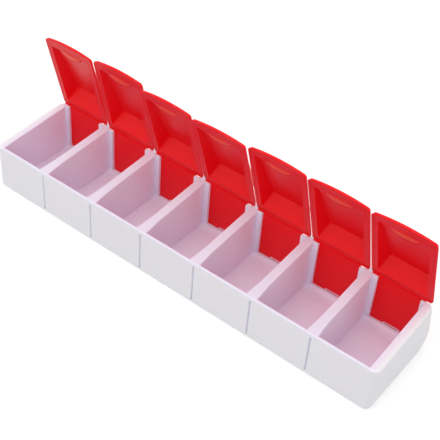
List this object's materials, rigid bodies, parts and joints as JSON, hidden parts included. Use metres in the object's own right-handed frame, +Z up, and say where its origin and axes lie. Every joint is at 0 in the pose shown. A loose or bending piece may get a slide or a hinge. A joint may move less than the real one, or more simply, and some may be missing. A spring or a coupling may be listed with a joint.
{
  "type": "weekly pill box",
  "caption": "Weekly pill box: a white row of open-topped compartments in one tray, each with its own red humped lid on a living hinge along a red rear wall.",
  "frame": {"origin": "centre of the tray's underside, midway between its ends and 24 mm behind the front face", "axes": "+X along the row of compartments, -Y towards the front edge, +Z up"},
  "size_m": [0.2118, 0.0489, 0.0691],
  "materials": {
    "white_plastic": "satin",
    "red_plastic": "glossy"
  },
  "bodies": {
    "tray": {"tray": "white_plastic", "rear_wall": "red_plastic", "hinge_web_1": "red_plastic", "hinge_web_2": "red_plastic", "hinge_web_3": "red_plastic", "hinge_web_4": "red_plastic", "hinge_web_5": "red_plastic", "hinge_web_6": "red_plastic", "hinge_web_7": "red_plastic"},
    "lid_1": {"lid_1": "red_plastic"},
    "lid_2": {"lid_2": "red_plastic"},
    "lid_3": {"lid_3": "red_plastic"},
    "lid_4": {"lid_4": "red_plastic"},
    "lid_5": {"lid_5": "red_plastic"},
    "lid_6": {"lid_6": "red_plastic"},
    "lid_7": {"lid_7": "red_plastic"}
  },
  "joints": [
    {"name": "lid_1_hinge", "type": "hinge", "parent": "tray", "child": "lid_1", "pos_m": [-0.09, 0.02, 0.02665], "axis": [1, 0, 0], "range_deg": [-99.66, 80.34], "stiffness_Nm_per_rad": 0.003},
    {"name": "lid_2_hinge", "type": "hinge", "parent": "tray", "child": "lid_2", "pos_m": [-0.06, 0.02, 0.02665], "axis": [1, 0, 0], "range_deg": [-98.56, 81.44], "stiffness_Nm_per_rad": 0.003},
    {"name": "lid_3_hinge", "type": "hinge", "parent": "tray", "child": "lid_3", "pos_m": [-0.03, 0.02, 0.02665], "axis": [1, 0, 0], "range_deg": [-102.36, 77.64], "stiffness_Nm_per_rad": 0.003},
    {"name": "lid_4_hinge", "type": "hinge", "parent": "tray", "child": "lid_4", "pos_m": [0, 0.02, 0.02665], "axis": [1, 0, 0], "range_deg": [-103.76, 76.24], "stiffness_Nm_per_rad": 0.003},
    {"name": "lid_5_hinge", "type": "hinge", "parent": "tray", "child": "lid_5", "pos_m": [0.03, 0.02, 0.02665], "axis": [1, 0, 0], "range_deg": [-102.46, 77.54], "stiffness_Nm_per_rad": 0.003},
    {"name": "lid_6_hinge", "type": "hinge", "parent": "tray", "child": "lid_6", "pos_m": [0.06, 0.02, 0.02665], "axis": [1, 0, 0], "range_deg": [-102.66, 77.34], "stiffness_Nm_per_rad": 0.003},
    {"name": "lid_7_hinge", "type": "hinge", "parent": "tray", "child": "lid_7", "pos_m": [0.09, 0.02, 0.02665], "axis": [1, 0, 0], "range_deg": [-103.16, 76.84], "stiffness_Nm_per_rad": 0.003}
  ]
}
